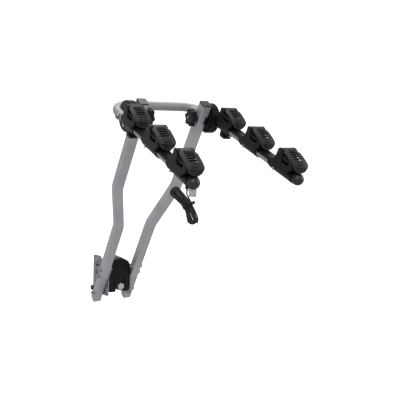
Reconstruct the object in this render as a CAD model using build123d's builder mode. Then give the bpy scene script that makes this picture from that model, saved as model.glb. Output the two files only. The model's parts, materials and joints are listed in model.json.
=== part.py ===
from build123d import *
import math
import os

os.makedirs("parts", exist_ok=True)

# Hanging bicycle rack for a tow ball. Millimetres. The origin is the centre
# of the tow ball, +Z is the ball's axis upwards, +X is the rack's right side
# seen from behind the car, and the car stands on the +Y side.

# Tow ball and the coupling that grips it
ball_diameter = 50.0
cup_clearance = 0.2
ball_above_feet = 72.0
rod_diameter = 8.0
rod_wall = 0.8
jaw_side_wall = 2.6
hood_wall = 3.0
hood_room = 0.5
plate_thickness = 4.0
plate_rear = 72.0
plate_front = 76.0
plate_top = 70.0
left_plate_rear_top = 77.0
left_plate_peak = (7.0, 88.0)
left_plate_raise_front = 45.0
plate_raise_from = 61.0
plate_rear_drop = 67.0
plate_front_drop = 42.0
plate_shoulder = 26.0
plate_corner = 6.0

# Square legs
leg_tube = 30.0
leg_wall = 2.0
leg_corner = 3.5
leg_lean = 31.5
leg_length = 862.0
leg_low_bend = 372.0
leg_high_bend = 539.0
leg_bend_radius = 90.0
leg_high_half = 104.8
leg_bolt_height = (36.0, 127.0)
leg_top_bolt_height = 158.0
leg_bolt_diameter = 8.0
leg_cap_plug = 20.0
leg_cap_lip = 4.0

# Folding hubs
hub_on_leg = 813.0
hub_bolt_diameter = 10.0
disc_radius = 36.0
disc_thickness = 8.2
tooth_count = 24
tooth_depth = 1.8
tooth_width = 3.0
tooth_inner_radius = 20.0
hub_gap = 0.3
skirt_clearance = 1.0
drum_skirt_wall = 9.0
drum_web = 12.3
drum_outer_lip = 8.0
drum_rib_count = 28
knob_radius = 27.0
knob_lobes = 6
knob_lobe_radius = 8.5
knob_length = 25.5
knob_hub_radius = 14.0

# Arms: one round tube bent to a U
arm_tube_diameter = 28.0
arm_wall = 2.0
arm_droop = 17.0
arm_bend = 71.0
crossbar_back = 98.7
arm_past_last_cradle = 60.0
end_cap_swell = 2.3

# Cradles along each arm
cradle_pitch = 154.5
first_cradle = 71.0
cradle_count = 3
cradle_width = 50.0
cover_wall = 3.4
cover_back = 32.0
saddle_front = 43.0
pin_height = 50.0
pin_diameter = 5.0
nose_top = 8.6
nose_round = 8.0
knuckle_radius = 9.4
knuckle_width = 34.0
strap_slot_pitch = 8.4
strap_slot_width = 18.0
strap_slot_length = 4.4
sling_thickness = 3.0
rivet_diameter = 5.0

# Clearances
bolt_clearance = 0.25
running_clearance = 0.05
slide_clearance = 0.3
tube_fit = 0.15

# Places that follow from the sizes above
lean = math.radians(leg_lean)
droop = math.radians(arm_droop)
leg_up = Vector(0, -math.sin(lean), math.cos(lean))
leg_front = Vector(0, -math.cos(lean), -math.sin(lean))
arm_forward = Vector(0, -math.cos(droop), -math.sin(droop))
arm_up = Vector(0, -math.sin(droop), math.cos(droop))
cup_radius = ball_diameter / 2 + cup_clearance
rod_x = cup_radius + rod_wall + rod_diameter / 2
jaw_half_width = rod_x + rod_diameter / 2 + jaw_side_wall
plate_gap = 2 * (jaw_half_width + hood_room + hood_wall + slide_clearance)
plate_inner = plate_gap / 2
plate_outer = plate_inner + plate_thickness
leg_low_half = plate_outer + leg_tube / 2
leg_outer = leg_high_half + leg_tube / 2
leg_inner = leg_high_half - leg_tube / 2
disc_face = leg_outer + disc_thickness
drum_face = disc_face + hub_gap
arm_half = drum_face + drum_web + arm_tube_diameter / 2
foot = Vector(0, 0, -ball_above_feet)
hub = foot + leg_up * hub_on_leg
tube_radius = arm_tube_diameter / 2
drum_radius = disc_radius + skirt_clearance + drum_skirt_wall
arm_reach = first_cradle + cradle_pitch * (cradle_count - 1) + arm_past_last_cradle


def leg_plane(x=0.0, height=0.0):
    """Plane across the leg tube: local x is +X, local y points to the rack's back."""
    return Plane(origin=foot + Vector(x, 0, 0) + leg_up * height, x_dir=(1, 0, 0), z_dir=leg_up)


def leg_side(height, front=0.0, x=0.0):
    """Plane facing +X at a height on the leg: local x runs up along the leg."""
    return Plane(origin=foot + Vector(x, 0, 0) + leg_up * height + leg_front * front,
                 x_dir=leg_up, z_dir=(1, 0, 0))


def arm_point(x, forward, up):
    """Point in the arms' own directions, measured from the hub axis."""
    return hub + Vector(x, 0, 0) + arm_forward * forward + arm_up * up


def arm_section(x, forward, up=0.0):
    """Plane across an arm: local x is +X, local y points up from the arm."""
    return Plane(origin=arm_point(x, forward, up), x_dir=(1, 0, 0), z_dir=arm_forward)


def arm_side(x, forward=0.0, up=0.0):
    """Plane facing -X: local x runs forward along the arm, local y up from it."""
    return Plane(origin=arm_point(x, forward, up), x_dir=arm_forward, z_dir=(-1, 0, 0))


def across(x, y, z):
    """Plane facing +X: local x is +Y and local y is +Z."""
    return Plane(origin=(x, y, z), x_dir=(0, 1, 0), z_dir=(1, 0, 0))


def mirrored(piece):
    """The same piece on the rack's other side."""
    with BuildPart() as other:
        mirror(piece.part, about=Plane.YZ)
    return other


def both_sides(piece):
    """One node with the piece and its mirror image."""
    with BuildPart() as pair:
        add(piece.part)
        mirror(piece.part, about=Plane.YZ)
    return pair


pieces = {}

# Legs: square tubes that run up side by side, splay, and run up again
leg_bore = leg_tube - 2 * leg_wall
with BuildPart() as right_leg:
    with BuildLine(Plane(origin=foot, x_dir=(1, 0, 0), z_dir=leg_front)) as leg_line:
        FilletPolyline(
            (leg_low_half, 0),
            (leg_low_half, leg_low_bend),
            (leg_high_half, leg_high_bend),
            (leg_high_half, leg_length),
            radius=leg_bend_radius,
        )
    with BuildSketch(leg_plane(leg_low_half)):
        RectangleRounded(leg_tube, leg_tube, leg_corner)
        RectangleRounded(leg_bore, leg_bore, leg_corner - leg_wall, mode=Mode.SUBTRACT)
    sweep(path=leg_line.wires()[0])
    for height in (*leg_bolt_height, leg_top_bolt_height):
        with BuildSketch(leg_side(height)):
            Circle(leg_bolt_diameter / 2 + bolt_clearance)
        extrude(amount=leg_low_half + leg_tube, mode=Mode.SUBTRACT)
    with BuildSketch(leg_side(hub_on_leg)):
        Circle(hub_bolt_diameter / 2 + bolt_clearance)
    extrude(amount=leg_high_half + leg_tube, mode=Mode.SUBTRACT)
pieces["right_leg"] = right_leg
pieces["left_leg"] = mirrored(right_leg)

# Plastic caps in the legs' upper ends
leg_cap_fit = 0.15
plug_side = leg_bore - 2 * leg_cap_fit
with BuildPart() as leg_cap:
    with BuildSketch(leg_plane(leg_high_half, leg_length)):
        RectangleRounded(leg_tube + 1, leg_tube + 1, leg_corner + 0.5)
    extrude(amount=leg_cap_lip)
    chamfer(leg_cap.faces().sort_by(Axis((0, 0, 0), leg_up))[-1].edges(), length=1.2)
    with BuildSketch(leg_plane(leg_high_half, leg_length)):
        RectangleRounded(plug_side, plug_side, leg_corner - leg_wall)
    extrude(amount=-leg_cap_plug)
pieces["leg_caps"] = both_sides(leg_cap)

# Side plates: zinc-plated steel between each leg and the coupling. The left plate
# rises to a peak between the leg and the hood; the right one ends below the hood's side.
jaw_bolt_diameter = 10.0
jaw_bolt_y = 38.0
jaw_bolt_z = (22.0, 51.5)
hood_screw_diameter = 5.0
hood_screw_y = 4.0
hood_screw_z = 56.0
countersink_radius = 7.6
with BuildPart() as right_plate:
    with BuildSketch(across(plate_inner, 0, 0)):
        with BuildLine():
            FilletPolyline(
                (plate_rear, -plate_rear_drop),
                (plate_rear, plate_top),
                (-plate_front - (plate_top - plate_shoulder) * math.tan(lean), plate_top),
                (-plate_front, plate_shoulder),
                (-plate_front, -plate_front_drop),
                radius=plate_corner,
                close=True,
            )
        make_face()
    extrude(amount=plate_thickness)
    for height in leg_bolt_height:
        with Locations(leg_side(height, x=plate_inner).rotated((180, 0, 0))):
            CounterSinkHole(leg_bolt_diameter / 2 + bolt_clearance, countersink_radius, depth=plate_thickness)
    with BuildSketch(leg_side(leg_top_bolt_height)):
        Circle(leg_bolt_diameter / 2 + bolt_clearance)
    extrude(amount=plate_outer, mode=Mode.SUBTRACT)
    for z in jaw_bolt_z:
        with BuildSketch(across(0, jaw_bolt_y, z)):
            Circle(jaw_bolt_diameter / 2 + bolt_clearance)
        extrude(amount=plate_outer, mode=Mode.SUBTRACT)
    with BuildSketch(across(0, hood_screw_y, hood_screw_z)):
        Circle(hood_screw_diameter / 2 + bolt_clearance)
    extrude(amount=plate_outer, mode=Mode.SUBTRACT)
with BuildPart() as raised_plate:
    add(right_plate.part)
    with BuildSketch(across(plate_inner, 0, 0)):
        with BuildLine():
            FilletPolyline(
                (plate_rear, plate_raise_from),
                (plate_rear, left_plate_rear_top),
                left_plate_peak,
                (-left_plate_raise_front, plate_top),
                (-left_plate_raise_front, plate_raise_from),
                radius=plate_corner,
                close=True,
            )
        make_face()
    extrude(amount=plate_thickness)
pieces["right_side_plate"] = right_plate
pieces["left_side_plate"] = mirrored(raised_plate)

# Bolts through plate and leg: countersunk below, hexagon head at the top
washer_thickness = 1.6
nut_height = 6.8
nut_flats = 13.0
head_height = 5.3
bolt_end = leg_low_half + leg_tube / 2 + washer_thickness + nut_height + 2.5
with BuildPart() as leg_bolts_right:
    for height in leg_bolt_height:
        with BuildSketch(leg_side(height, x=plate_inner)):
            Circle(leg_bolt_diameter / 2)
        extrude(amount=bolt_end - plate_inner)
        with BuildSketch(leg_side(height, x=plate_inner)):
            Circle(countersink_radius - tube_fit)
        extrude(amount=countersink_radius - leg_bolt_diameter / 2 - tube_fit, taper=45)
    with BuildSketch(leg_side(leg_top_bolt_height, x=plate_inner)):
        Circle(leg_bolt_diameter / 2)
    extrude(amount=bolt_end - plate_inner)
    with BuildSketch(leg_side(leg_top_bolt_height, x=plate_inner)):
        RegularPolygon(nut_flats / 2, 6, major_radius=False)
    extrude(amount=-head_height)
pieces["leg_bolts"] = both_sides(leg_bolts_right)
with BuildPart() as leg_washer_set:
    for height in (*leg_bolt_height, leg_top_bolt_height):
        with BuildSketch(leg_side(height, x=leg_low_half + leg_tube / 2)):
            Circle(leg_bolt_diameter)
            Circle(leg_bolt_diameter / 2 + bolt_clearance, mode=Mode.SUBTRACT)
        extrude(amount=washer_thickness)
pieces["leg_washers"] = both_sides(leg_washer_set)
with BuildPart() as leg_nut_set:
    for height in (*leg_bolt_height, leg_top_bolt_height):
        with BuildSketch(leg_side(height, x=leg_low_half + leg_tube / 2 + washer_thickness)):
            RegularPolygon(nut_flats / 2, 6, major_radius=False)
            Circle(leg_bolt_diameter / 2 + running_clearance, mode=Mode.SUBTRACT)
        extrude(amount=nut_height)
pieces["leg_nuts"] = both_sides(leg_nut_set)

# Coupling: a fixed rear jaw, a front jaw on two rods, and a screw in a bridge
jaw_half_gap = 1.5
fixed_jaw_rear = 50.0
fixed_jaw_top = 62.0
fixed_jaw_neck = 24.0
jaw_bottom = 1 - ball_diameter / 2
jaw_top = cup_radius + 4.8
boss_radius = 10.5
moving_jaw_back = cup_radius + 10.8
moving_jaw_top = 22.0
lip_top = -6.0
lip_gap = 0.7 * ball_diameter
jaw_travel = ball_diameter - lip_gap + 1
screw_z = -5.0
screw_diameter = 14.0
screw_nose_diameter = 10.0
screw_nose_length = 6.0
screw_head_flats = 22.0
screw_head_length = 10.0
screw_head_front = 92.0
bridge_gap = 2.0
bridge_thickness = 12.0
bridge_half_height = 18.0
rod_seat = 15.0
bridge_rear = moving_jaw_back + jaw_travel + bridge_gap
with BuildPart() as fixed_jaw:
    with BuildSketch(across(-jaw_half_width, 0, 0)):
        with BuildLine():
            FilletPolyline(
                (jaw_half_gap, jaw_bottom),
                (fixed_jaw_rear, jaw_bottom),
                (fixed_jaw_rear, fixed_jaw_top),
                (fixed_jaw_neck, fixed_jaw_top),
                (fixed_jaw_neck, jaw_top),
                (jaw_half_gap, jaw_top),
                radius=3,
                close=True,
            )
        make_face()
    extrude(amount=2 * jaw_half_width)
    for z in jaw_bolt_z:
        with BuildSketch(across(-plate_inner, jaw_bolt_y, z)):
            Circle(boss_radius)
        extrude(amount=plate_gap)
    for z in jaw_bolt_z:
        with BuildSketch(across(-plate_inner, jaw_bolt_y, z)):
            Circle(jaw_bolt_diameter / 2 + bolt_clearance)
        extrude(amount=plate_gap, mode=Mode.SUBTRACT)
    with Locations((0, 0, 0)):
        Sphere(cup_radius, mode=Mode.SUBTRACT)
    with Locations((0, 0, lip_top + jaw_bottom / 2)):
        Box(2 * cup_radius, lip_gap, -jaw_bottom, mode=Mode.SUBTRACT)
    with BuildSketch(Plane(origin=(0, 0, screw_z), x_dir=(1, 0, 0), z_dir=(0, 1, 0))):
        with Locations((-rod_x, 0), (rod_x, 0)):
            Circle(rod_diameter / 2 + running_clearance)
    extrude(amount=jaw_half_gap + rod_seat, mode=Mode.SUBTRACT)
pieces["fixed_jaw"] = fixed_jaw

with BuildPart() as moving_jaw:
    with BuildSketch(across(-jaw_half_width, 0, 0)):
        with BuildLine():
            FilletPolyline(
                (-moving_jaw_back, jaw_bottom),
                (-jaw_half_gap, jaw_bottom),
                (-jaw_half_gap, moving_jaw_top),
                (-moving_jaw_back, moving_jaw_top),
                radius=3,
                close=True,
            )
        make_face()
    extrude(amount=2 * jaw_half_width)
    with Locations((0, 0, 0)):
        Sphere(cup_radius, mode=Mode.SUBTRACT)
    with Locations((0, 0, lip_top + jaw_bottom / 2)):
        Box(2 * cup_radius, lip_gap, -jaw_bottom, mode=Mode.SUBTRACT)
    with BuildSketch(Plane(origin=(0, -moving_jaw_back, screw_z), x_dir=(1, 0, 0), z_dir=(0, 1, 0))):
        with Locations((-rod_x, 0), (rod_x, 0)):
            Circle(rod_diameter / 2 + running_clearance)
    extrude(amount=moving_jaw_back, mode=Mode.SUBTRACT)
    with BuildSketch(Plane(origin=(0, -moving_jaw_back, screw_z), x_dir=(1, 0, 0), z_dir=(0, 1, 0))):
        Circle(screw_nose_diameter / 2 + running_clearance)
    extrude(amount=screw_nose_length + slide_clearance, mode=Mode.SUBTRACT)
pieces["moving_jaw"] = moving_jaw

with BuildPart() as screw_bridge:
    with Locations((0, -bridge_rear - bridge_thickness / 2, screw_z)):
        Box(plate_gap, bridge_thickness, 2 * bridge_half_height)
    with BuildSketch(Plane(origin=(0, -bridge_rear, screw_z), x_dir=(1, 0, 0), z_dir=(0, -1, 0))):
        Circle(screw_diameter / 2 + running_clearance)
        with Locations((-rod_x, 0), (rod_x, 0)):
            Circle(rod_diameter / 2 + running_clearance)
    extrude(amount=bridge_thickness, mode=Mode.SUBTRACT)
pieces["screw_bridge"] = screw_bridge

with BuildPart() as guide_rods:
    with BuildSketch(
        Plane(origin=(0, -bridge_rear - bridge_thickness, screw_z), x_dir=(1, 0, 0), z_dir=(0, 1, 0))
    ):
        with Locations((-rod_x, 0), (rod_x, 0)):
            Circle(rod_diameter / 2)
    extrude(amount=bridge_rear + bridge_thickness + jaw_half_gap + rod_seat - slide_clearance)
pieces["guide_rods"] = guide_rods

with BuildPart() as clamp_screw:
    with BuildSketch(Plane(origin=(0, -screw_head_front, screw_z), x_dir=(1, 0, 0), z_dir=(0, 1, 0))):
        RegularPolygon(screw_head_flats / 2, 6, major_radius=False, rotation=30)
    extrude(amount=screw_head_length)
    with BuildSketch(Plane(origin=(0, -screw_head_front, screw_z), x_dir=(1, 0, 0), z_dir=(0, 1, 0))):
        Circle(screw_diameter / 2)
    extrude(amount=screw_head_front - moving_jaw_back - slide_clearance)
    with BuildSketch(Plane(origin=(0, -moving_jaw_back, screw_z), x_dir=(1, 0, 0), z_dir=(0, 1, 0))):
        Circle(screw_nose_diameter / 2)
    extrude(amount=screw_nose_length)
    with BuildSketch(Plane(origin=(0, -moving_jaw_back, screw_z), x_dir=(1, 0, 0), z_dir=(0, -1, 0))):
        Circle(screw_nose_diameter / 2)
    extrude(amount=slide_clearance)
pieces["clamp_screw"] = clamp_screw

jaw_head_flats = 17.0
jaw_head_height = 6.4
jaw_nut_height = 8.4
with BuildPart() as jaw_bolts:
    for z in jaw_bolt_z:
        with BuildSketch(across(-plate_outer, jaw_bolt_y, z)):
            Circle(jaw_bolt_diameter / 2)
        extrude(amount=2 * plate_outer + jaw_nut_height + 2)
        with BuildSketch(across(-plate_outer, jaw_bolt_y, z)):
            RegularPolygon(jaw_head_flats / 2, 6, major_radius=False)
        extrude(amount=-jaw_head_height)
pieces["jaw_bolts"] = jaw_bolts
with BuildPart() as jaw_nuts:
    for z in jaw_bolt_z:
        with BuildSketch(across(plate_outer, jaw_bolt_y, z)):
            RegularPolygon(jaw_head_flats / 2, 6, major_radius=False)
            Circle(jaw_bolt_diameter / 2 + running_clearance, mode=Mode.SUBTRACT)
        extrude(amount=jaw_nut_height)
pieces["jaw_nuts"] = jaw_nuts

# Rubber buffers on the plates' lower rear corners
buffer_size = (15.0, 20.0, 16.0)
buffer_grip = 8.0
buffer_z = -53.0
buffer_x = plate_inner + plate_thickness / 2
buffer_y = plate_rear - buffer_grip
with BuildPart() as rubber_buffer:
    with Locations((buffer_x, buffer_y + buffer_size[1] / 2, buffer_z)):
        Box(*buffer_size)
    fillet(rubber_buffer.edges().filter_by(Axis.X), radius=3)
    with Locations((buffer_x, buffer_y, buffer_z)):
        Box(plate_thickness + tube_fit, 2 * buffer_grip + tube_fit, buffer_size[2] + 1, mode=Mode.SUBTRACT)
pieces["rubber_buffers"] = both_sides(rubber_buffer)

# Hood over the coupling: arched top, open rear and bottom, arch for the screw
hood_half = plate_inner - slide_clearance
hood_front = 75.0
hood_rear = 14.0
hood_bottom = -29.0
hood_side_top = 76.0
hood_crown_front = 96.0
hood_crown_rear = 78.0
hood_arch_half = 13.5
hood_arch_top = 12.0
hood_slot_x = 18.5
hood_slot_size = (6.0, 22.0)
hood_slot_z = 13.0
hood_front_round = 9.0
with BuildPart() as hood:
    for y, crown in ((-hood_front, hood_crown_front), (hood_rear, hood_crown_rear)):
        with BuildSketch(Plane.XZ.offset(-y)):
            with BuildLine():
                Polyline(
                    (-hood_half, hood_side_top),
                    (-hood_half, hood_bottom),
                    (hood_half, hood_bottom),
                    (hood_half, hood_side_top),
                )
                ThreePointArc((hood_half, hood_side_top), (0, crown), (-hood_half, hood_side_top))
            make_face()
    loft(ruled=True)
    fillet(hood.faces().sort_by(Axis.Y)[0].edges().sort_by(Axis.Z)[1:], radius=hood_front_round)
    for y, crown in ((-hood_front + hood_wall, hood_crown_front), (hood_rear, hood_crown_rear)):
        with BuildSketch(Plane.XZ.offset(-y)):
            with BuildLine():
                Polyline(
                    (hood_wall - hood_half, hood_side_top - hood_wall),
                    (hood_wall - hood_half, hood_bottom),
                    (hood_half - hood_wall, hood_bottom),
                    (hood_half - hood_wall, hood_side_top - hood_wall),
                )
                ThreePointArc(
                    (hood_half - hood_wall, hood_side_top - hood_wall),
                    (0, crown - hood_wall),
                    (hood_wall - hood_half, hood_side_top - hood_wall),
                )
            make_face()
    loft(ruled=True, mode=Mode.SUBTRACT)
    with BuildSketch(Plane.XZ.offset(hood_front)):
        with Locations((0, hood_bottom)):
            Rectangle(2 * hood_arch_half, 2 * (hood_arch_top - hood_arch_half - hood_bottom))
        with Locations((0, hood_arch_top - hood_arch_half)):
            Circle(hood_arch_half)
        with Locations((-hood_slot_x, hood_slot_z), (hood_slot_x, hood_slot_z)):
            SlotOverall(hood_slot_size[1], hood_slot_size[0], rotation=90)
    extrude(amount=-2 * hood_wall, mode=Mode.SUBTRACT)
    bridge_top = screw_z + bridge_half_height
    with Locations((0, -bridge_rear - bridge_thickness / 2, (hood_bottom + bridge_top) / 2)):
        Box(plate_gap, bridge_thickness + 1, bridge_top - hood_bottom + 1, mode=Mode.SUBTRACT)
    with BuildSketch(across(-plate_gap, hood_screw_y, hood_screw_z)):
        Circle(hood_screw_diameter / 2 + running_clearance)
    extrude(amount=2 * plate_gap, mode=Mode.SUBTRACT)
pieces["coupling_hood"] = hood

with BuildPart() as hood_screw:
    with BuildSketch(across(plate_outer, hood_screw_y, hood_screw_z)):
        Circle(hood_screw_diameter / 2)
    extrude(amount=-(plate_thickness + hood_wall + 3))
    with BuildSketch(across(plate_outer, hood_screw_y, hood_screw_z)):
        Circle(hood_screw_diameter)
    extrude(amount=3)
    fillet(hood_screw.faces().sort_by(Axis.X)[-1].edges(), radius=1.5)
pieces["hood_screws"] = both_sides(hood_screw)

# Toothed disc on the leg, with lips that hug the tube
lip_width = 12.0
lip_depth = 9.0
with BuildPart() as right_disc:
    with BuildSketch(arm_side(leg_outer)):
        Circle(disc_radius)
    extrude(amount=-disc_thickness)
    with BuildSketch(leg_side(hub_on_leg, x=leg_outer)):
        with Locations((0, leg_tube / 2 + tube_fit + 2), (0, -leg_tube / 2 - tube_fit - 2)):
            Rectangle(2 * lip_width, 4)
    extrude(amount=-lip_depth)
    with BuildSketch(arm_side(disc_face)):
        with PolarLocations((disc_radius + tooth_inner_radius) / 2, tooth_count):
            Rectangle(disc_radius - tooth_inner_radius + 1, tooth_width)
    extrude(amount=tooth_depth, mode=Mode.SUBTRACT)
    with BuildSketch(arm_side(leg_outer)):
        Circle(hub_bolt_diameter / 2 + bolt_clearance)
    extrude(amount=-disc_thickness, mode=Mode.SUBTRACT)
pieces["right_toothed_disc"] = right_disc
pieces["left_toothed_disc"] = mirrored(right_disc)

# Centre line of the arm tube, bent to a U behind the hubs
with BuildLine(Plane(origin=hub, x_dir=(1, 0, 0), z_dir=arm_up)) as arm_line:
    FilletPolyline(
        (arm_half, -arm_reach),
        (arm_half, crossbar_back),
        (-arm_half, crossbar_back),
        (-arm_half, -arm_reach),
        radius=arm_bend,
    )

# Arm drum: a skirt over the disc, teeth inside, a channel for the tube outside
skirt_length = 4.3
drum_outer = drum_face + drum_web + drum_outer_lip
drum_inner = drum_face - skirt_length
rib_groove = 2.0
rib_groove_width = 5.0
drum_screw_forward = 22.0
drum_screw_diameter = 5.0
with BuildPart() as right_drum:
    with BuildSketch(arm_side(drum_inner)):
        Circle(drum_radius)
    extrude(amount=-(drum_outer - drum_inner))
    chamfer(right_drum.faces().sort_by(Axis.X)[-1].edges(), length=3)
    with BuildSketch(arm_side(drum_inner)):
        Circle(disc_radius + skirt_clearance)
    extrude(amount=-skirt_length, mode=Mode.SUBTRACT)
    with BuildSketch(arm_side(drum_face)):
        with PolarLocations((disc_radius + tooth_inner_radius) / 2, tooth_count):
            Rectangle(disc_radius - tooth_inner_radius + 1, tooth_width)
    extrude(amount=-tooth_depth, mode=Mode.SUBTRACT)
    with BuildSketch(arm_side(drum_inner + 2)):
        with PolarLocations(drum_radius, drum_rib_count):
            Rectangle(2 * rib_groove, rib_groove_width)
    extrude(amount=-(drum_outer - drum_inner), mode=Mode.SUBTRACT)
    with BuildSketch(Plane(origin=arm_point(arm_half, arm_reach, 0), x_dir=(1, 0, 0), z_dir=-arm_forward)):
        Circle(tube_radius + tube_fit)
    sweep(path=arm_line.wires()[0], mode=Mode.SUBTRACT)
    with BuildSketch(arm_side(drum_inner)):
        Circle(hub_bolt_diameter / 2 + bolt_clearance)
    extrude(amount=-(drum_outer - drum_inner), mode=Mode.SUBTRACT)
    with BuildSketch(arm_side(drum_outer, drum_screw_forward)):
        Circle(drum_screw_diameter / 2 + running_clearance)
    extrude(amount=drum_outer - drum_face - 4, mode=Mode.SUBTRACT)
pieces["right_arm_drum"] = right_drum
pieces["left_arm_drum"] = mirrored(right_drum)

# Hub bolt: dome head outside the arm, saddle washer on the tube
saddle_washer_radius = 11.0
saddle_washer_top = 2.0
dome_radius = 9.5
dome_height = 5.0
bolt_past_knob = 2.5
hub_washer_radius = 13.0
hub_washer_thickness = 2.0
washer_out = arm_half + tube_radius + saddle_washer_top
knob_face = leg_inner - hub_washer_thickness - slide_clearance
knob_end = knob_face - knob_length
with BuildPart() as right_hub_bolt:
    with BuildSketch(arm_side(washer_out)):
        Circle(hub_bolt_diameter / 2)
    extrude(amount=washer_out - knob_end + bolt_past_knob)
    with BuildSketch(arm_side(washer_out)):
        Circle(dome_radius)
    extrude(amount=-dome_height)
    fillet(right_hub_bolt.faces().sort_by(Axis.X)[-1].edges(), radius=dome_height - 0.5)
pieces["right_hub_bolt"] = right_hub_bolt
pieces["left_hub_bolt"] = mirrored(right_hub_bolt)

with BuildPart() as saddle_washer:
    with BuildSketch(arm_side(washer_out)):
        Circle(saddle_washer_radius)
        Circle(hub_bolt_diameter / 2 + bolt_clearance, mode=Mode.SUBTRACT)
    extrude(amount=saddle_washer_top + tube_radius * 0.35)
    with BuildSketch(arm_section(arm_half, -saddle_washer_radius - 1)):
        Circle(tube_radius)
    extrude(amount=2 * saddle_washer_radius + 2, mode=Mode.SUBTRACT)
pieces["saddle_washers"] = both_sides(saddle_washer)

with BuildPart() as drum_screw:
    with BuildSketch(arm_side(arm_half + tube_radius + 0.4, drum_screw_forward)):
        Circle(drum_screw_diameter / 2)
    extrude(amount=arm_half + tube_radius - drum_face - 5)
    with BuildSketch(arm_side(arm_half + tube_radius + 0.4, drum_screw_forward)):
        Circle(drum_screw_diameter * 0.9)
    extrude(amount=-3)
    fillet(drum_screw.faces().sort_by(Axis.X)[-1].edges(), radius=1.2)
pieces["drum_screws"] = both_sides(drum_screw)

# Lobed knob on the bolt's inner end, with a steel nut pressed into it
knob_nut_radius = 9.0
knob_nut_length = 14.0
knob_waist = 21.0
with BuildPart() as right_knob:
    with BuildSketch(arm_side(knob_end)):
        Circle(knob_waist)
        with PolarLocations(knob_radius - knob_lobe_radius, knob_lobes):
            Circle(knob_lobe_radius)
    extrude(amount=-(knob_length - 7))
    fillet(right_knob.edges().filter_by(Axis.X), radius=3)
    chamfer(right_knob.faces().sort_by(Axis.X)[0].edges(), length=2.5)
    chamfer(right_knob.faces().sort_by(Axis.X)[-1].edges(), length=1.5)
    with BuildSketch(arm_side(knob_face)):
        Circle(knob_hub_radius)
    extrude(amount=7, taper=-15)
    with BuildSketch(arm_side(knob_face)):
        Circle(knob_nut_radius)
    extrude(amount=knob_nut_length, mode=Mode.SUBTRACT)
    with BuildSketch(arm_side(knob_face)):
        Circle(hub_bolt_diameter / 2 + bolt_clearance)
    extrude(amount=knob_length + 1, mode=Mode.SUBTRACT)
pieces["right_knob"] = right_knob
pieces["left_knob"] = mirrored(right_knob)

with BuildPart() as right_knob_nut:
    with BuildSketch(arm_side(knob_face)):
        Circle(knob_nut_radius)
        Circle(hub_bolt_diameter / 2 + running_clearance, mode=Mode.SUBTRACT)
    extrude(amount=knob_nut_length)
pieces["right_knob_nut"] = right_knob_nut
pieces["left_knob_nut"] = mirrored(right_knob_nut)

with BuildPart() as hub_washer:
    with BuildSketch(arm_side(leg_inner)):
        Circle(hub_washer_radius)
        Circle(hub_bolt_diameter / 2 + bolt_clearance, mode=Mode.SUBTRACT)
    extrude(amount=hub_washer_thickness)
pieces["hub_washers"] = both_sides(hub_washer)

# Rivets that hold the cradles to the arms
rivet_back = 18.0
rivet_drop = 8.0
rivet_head = 4.4
rivet_head_height = 1.8
cover_radius = tube_radius + cover_wall
hump_places = [first_cradle + cradle_pitch * index for index in range(cradle_count)]

# Arm tube: one tube, bent to a U, with the crossbar behind the hubs
with BuildPart() as arm_tube:
    with BuildSketch(Plane(origin=arm_point(arm_half, arm_reach, 0), x_dir=(1, 0, 0), z_dir=-arm_forward)):
        Circle(tube_radius)
        Circle(tube_radius - arm_wall, mode=Mode.SUBTRACT)
    sweep(path=arm_line.wires()[0])
    with BuildSketch(arm_side(2 * arm_half)):
        Circle(hub_bolt_diameter / 2 + bolt_clearance)
        with Locations((drum_screw_forward, 0)):
            Circle(drum_screw_diameter / 2 + running_clearance)
        for hump in hump_places:
            with Locations((hump - rivet_back, -rivet_drop)):
                Circle(rivet_diameter / 2 + tube_fit)
    extrude(amount=4 * arm_half, mode=Mode.SUBTRACT)
pieces["arm_tube"] = arm_tube

# Ball caps in the tube's open ends
end_cap_radius = tube_radius + end_cap_swell
cap_centre = arm_reach + math.sqrt(end_cap_radius**2 - tube_radius**2)
cap_plug = 20.0
with BuildPart() as end_cap:
    with BuildSketch(arm_section(arm_half, arm_reach - cap_plug)):
        Circle(tube_radius - arm_wall - tube_fit)
    extrude(amount=cap_plug)
    with BuildSketch(Plane(origin=arm_point(arm_half, 0, 0), x_dir=arm_forward, z_dir=arm_up)):
        with BuildLine():
            Polyline(
                (cap_centre + end_cap_radius, 0),
                (arm_reach, 0),
                (arm_reach, tube_radius),
            )
            RadiusArc(
                (arm_reach, tube_radius), (cap_centre + end_cap_radius, 0), end_cap_radius, short_sagitta=True
            )
        make_face()
    revolve(axis=Axis(arm_point(arm_half, 0, 0), arm_forward))
pieces["end_caps"] = both_sides(end_cap)

# Cradle bases: a cover over the tube, a saddle round it, a nose and a front horn
knuckle_slot = 26.0
block_fillet = 2.0
sling_seat = 36.6
sling_sag = 3.0
scallop_top = 4.0
scallop_arc = 18.0


def cradle_block(hump):
    """Side profile of nose, sling trough and front horn, with rounded side edges."""
    with BuildPart() as block:
        with BuildSketch(arm_side(arm_half + cradle_width / 2, hump)) as side:
            with BuildLine():
                Polyline(
                    (-30, 2),
                    (-28, 18),
                    (-17, 26),
                    (-12, 42),
                    (-10, pin_height + nose_top),
                    (10, pin_height + nose_top),
                    (12, 39),
                    (15, 25),
                    (44, 25),
                    (46, 36.5),
                    (59, 36.5),
                    (65, 25),
                    (52, 14),
                    (44, 2),
                    close=True,
                )
            make_face()
            fillet(side.vertices().sort_by(Axis.Y)[:-2], radius=3)
            fillet(side.vertices().sort_by(Axis.Y)[-2:], radius=nose_round)
        extrude(amount=cradle_width)
        side_faces = block.faces().filter_by(Axis.X)
        fillet(side_faces.edges(), radius=block_fillet)
    return block


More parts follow.
